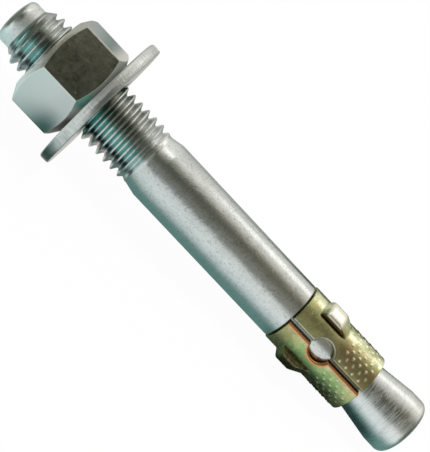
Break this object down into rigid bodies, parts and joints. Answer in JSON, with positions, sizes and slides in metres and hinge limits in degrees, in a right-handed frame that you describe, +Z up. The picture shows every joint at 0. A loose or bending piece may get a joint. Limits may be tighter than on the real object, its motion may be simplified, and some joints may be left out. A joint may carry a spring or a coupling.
{
  "type": "wedge anchor",
  "caption": "Through bolt for concrete: threaded steel stud with hexagon nut and washer, and an expansion clip on a neck above a cone that spreads it in the drilled hole.",
  "frame": {"origin": "on the floor under the middle of the outer box of the anchor as it lies at rest", "axes": "+X along the anchor from its impact end towards its cone, seen from above; +Z up; the stud's own axis leans down towards the cone by the rest angle"},
  "size_m": [0.0989, 0.027, 0.027],
  "materials": {
    "stud_zinc": "bright zinc plating, satin",
    "clip_yellow_zinc": "yellow iridescent passivated zinc",
    "nut_zinc": "bright zinc plating, smooth",
    "washer_zinc": "bright zinc plating, sheared rim"
  },
  "bodies": {
    "stud": {"anchor_stud": "stud_zinc"},
    "washer": {"flat_washer": "washer_zinc"},
    "nut": {"hex_nut": "nut_zinc"},
    "clip": {"expansion_clip": "clip_yellow_zinc"}
  },
  "joints": [
    {"name": "washer_slide", "type": "slide", "parent": "stud", "child": "washer", "axis": [0.996, 0, -0.0894], "range_m": [-0.01504, 0.01329]},
    {"name": "nut_turn", "type": "hinge", "parent": "washer", "child": "nut", "pos_m": [-0.03539, 0, 0.01338], "axis": [0.996, 0, -0.0894], "range_deg": [-3090, 2730]},
    {"name": "clip_turn", "type": "hinge", "parent": "stud", "child": "clip", "pos_m": [0.02865, 0, 0.00764], "axis": [0.996, 0, -0.0894], "continuous": true}
  ],
  "couplings": [
    {"joint": "washer_slide", "follows": "nut_turn", "m_per_rad": 0.00027852}
  ]
}
